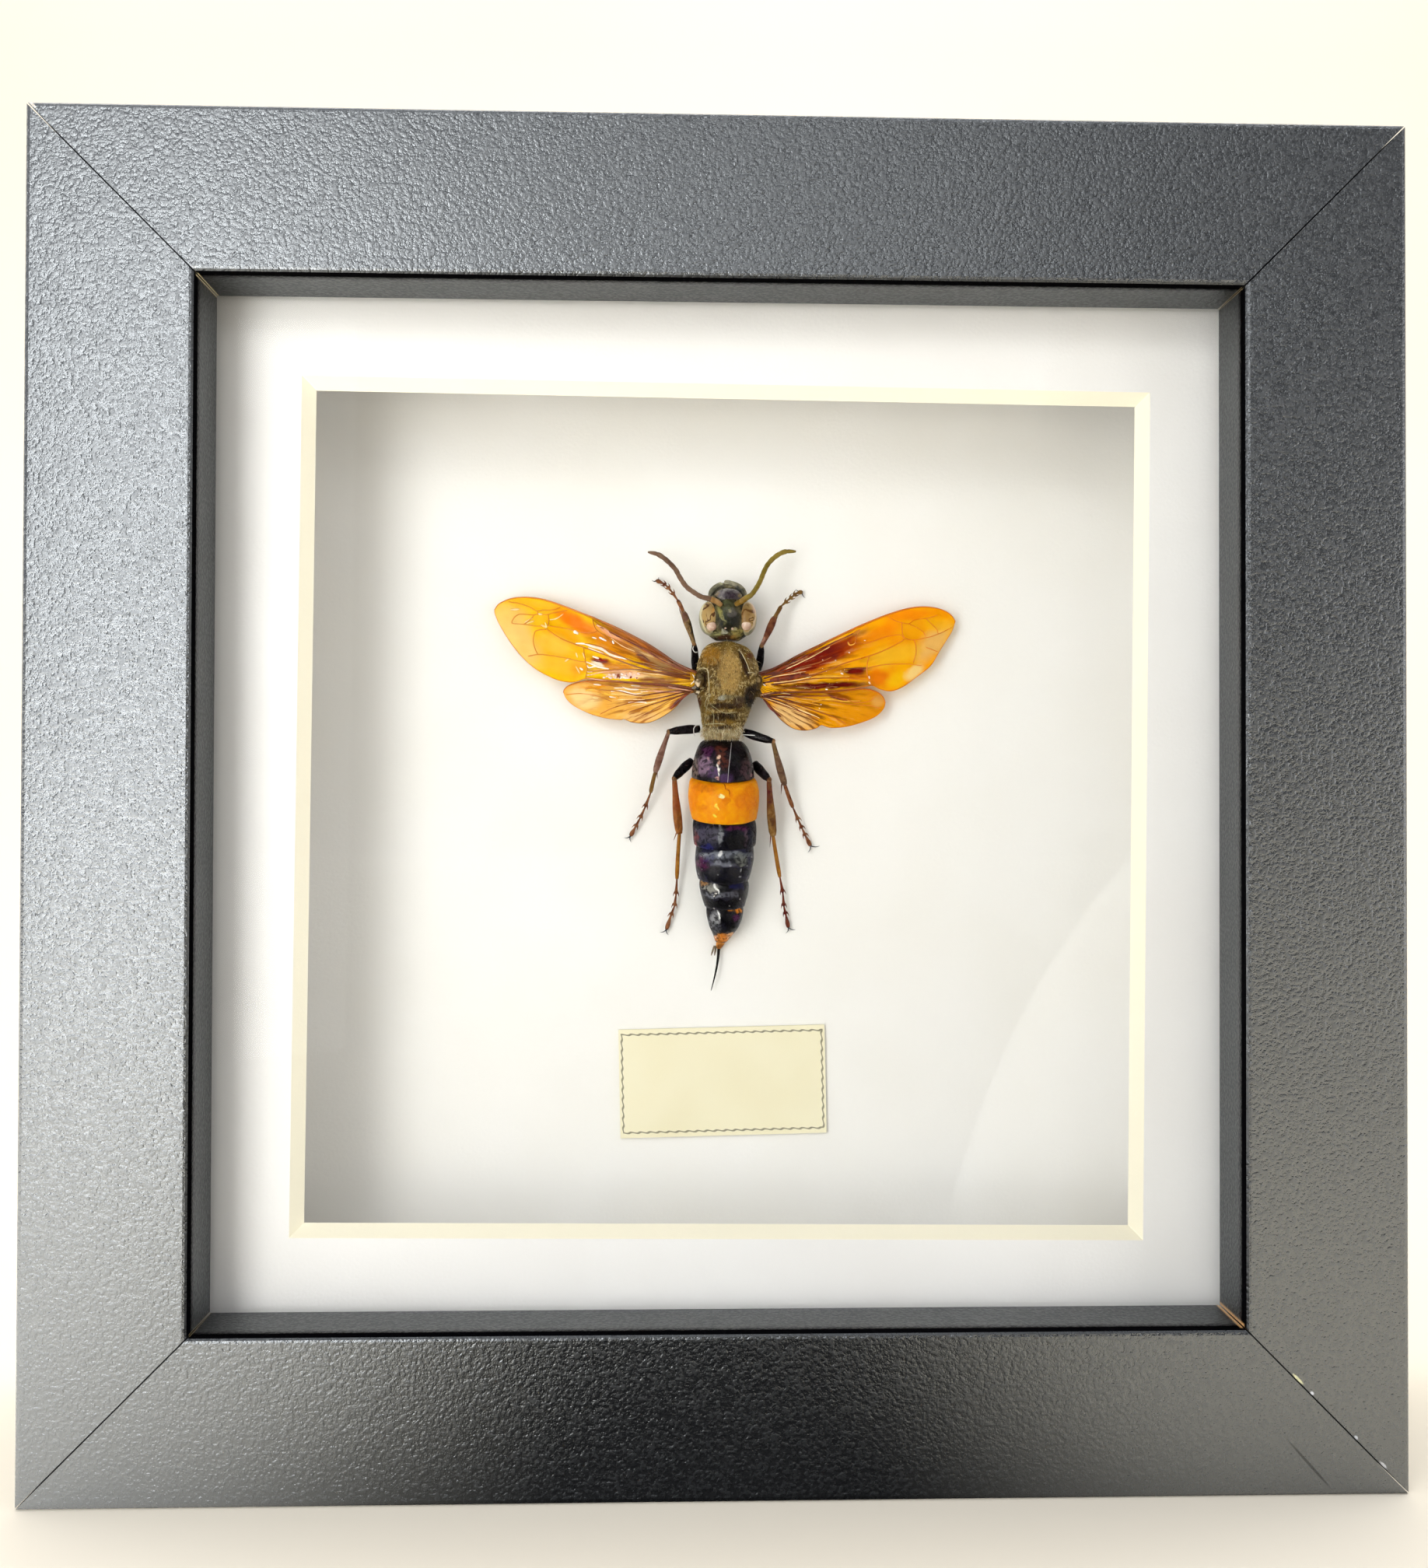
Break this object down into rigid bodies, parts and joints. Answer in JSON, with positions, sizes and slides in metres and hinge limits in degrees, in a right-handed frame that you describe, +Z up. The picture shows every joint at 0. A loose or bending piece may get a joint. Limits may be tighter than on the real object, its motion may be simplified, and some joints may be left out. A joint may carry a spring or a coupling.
{
  "type": "framed hornet specimen",
  "caption": "Square black shadow box with glass, a bevelled white mat and a spread hornet with amber wings on a white backing, over a blank label.",
  "frame": {"origin": "middle of the underside of the bottom rail, halfway from front to back", "axes": "+X to the right seen from the front, +Y from the front to the back, +Z up. The glass faces -Y"},
  "size_m": [0.15, 0.033, 0.15],
  "materials": {
    "black_paint": "black satin paint over wood, finely pebbled, with a raw wood chip at one corner",
    "clear_glass": "clear float glass",
    "mat_card": "smooth white mat board with a cream core at the bevel",
    "backing_card": "matt white card",
    "brown_board": "brown pressed hardboard",
    "cream_paper": "cream paper label with a twisted line border",
    "steel": "thin plated steel",
    "head_cuticle": "dark horny shell with tan glossy eyes",
    "hairy_cuticle": "dark shell under a short olive brown coat of hair",
    "banded_cuticle": "glossy purple black shell with one orange band",
    "limb_cuticle": "satin dark brown shell",
    "amber_wing": "thin glossy amber membrane with brown veins"
  },
  "bodies": {
    "root": {"rail_top": "black_paint", "rail_right": "black_paint", "rail_bottom": "black_paint", "rail_left": "black_paint", "glass_pane": "clear_glass", "mat_board": "mat_card", "spacer_top": "backing_card", "spacer_right": "backing_card", "spacer_bottom": "backing_card", "spacer_left": "backing_card", "backing_board": "backing_card", "back_panel": "brown_board", "label": "cream_paper", "sawtooth_hanger": "steel", "hanger_nail_left": "steel", "hanger_nail_right": "steel", "tab_top": "steel", "tab_right": "steel", "tab_bottom": "steel", "tab_left": "steel", "head": "head_cuticle", "antenna_left": "limb_cuticle", "antenna_right": "limb_cuticle", "thorax": "hairy_cuticle", "abdomen": "banded_cuticle", "sting": "limb_cuticle", "forewing_left": "amber_wing", "forewing_right": "amber_wing", "hindwing_left": "amber_wing", "hindwing_right": "amber_wing", "leg_fore_left": "limb_cuticle", "leg_fore_right": "limb_cuticle", "leg_mid_left": "limb_cuticle", "leg_mid_right": "limb_cuticle", "leg_hind_left": "limb_cuticle", "leg_hind_right": "limb_cuticle"}
  },
  "joints": []
}
